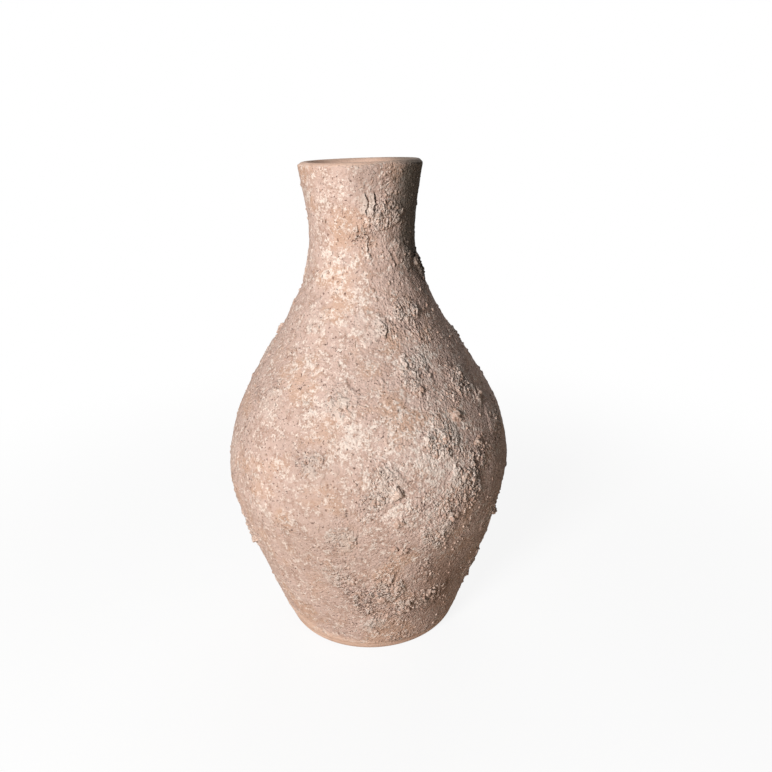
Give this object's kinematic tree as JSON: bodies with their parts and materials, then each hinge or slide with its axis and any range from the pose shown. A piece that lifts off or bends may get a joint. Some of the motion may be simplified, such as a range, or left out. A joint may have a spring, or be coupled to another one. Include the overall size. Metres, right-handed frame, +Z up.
{
  "type": "greek pithos",
  "caption": "Hand-built earthen jar with a round belly, a narrow neck, a flared open mouth, a flat foot and a coarse crust of clay over the outside.",
  "frame": {"origin": "middle of the flat foot, on the surface that it stands on", "axes": "+Z up along the axis of the jar, -Y towards the side that the picture shows"},
  "size_m": [0.24, 0.24, 0.4],
  "materials": {
    "fired_clay": "matt bare terracotta, hand smoothed, pinkish tan",
    "joining_slip": "matt fired slip in the joints, slightly darker than the clay",
    "rough_coat": "coarse matt crust of clay and grit, pale pinkish beige with whitish lime bloom and tan stains",
    "coat_clods": "coarse matt clods of the same clay and grit"
  },
  "bodies": {
    "root": {"base_slab": "fired_clay", "inside_corner_coil": "fired_clay", "foot_belt": "fired_clay", "lower_belt": "fired_clay", "belly_belt": "fired_clay", "upper_belt": "fired_clay", "shoulder_belt": "fired_clay", "collar_belt": "fired_clay", "neck_belt": "fired_clay", "lip_roll": "fired_clay", "base_slip": "joining_slip", "foot_slip": "joining_slip", "lower_slip": "joining_slip", "belly_slip": "joining_slip", "upper_slip": "joining_slip", "shoulder_slip": "joining_slip", "collar_slip": "joining_slip", "neck_slip": "joining_slip", "rough_coat": "rough_coat", "coat_clods": "coat_clods", "crust_dabs": "rough_coat"}
  },
  "joints": []
}
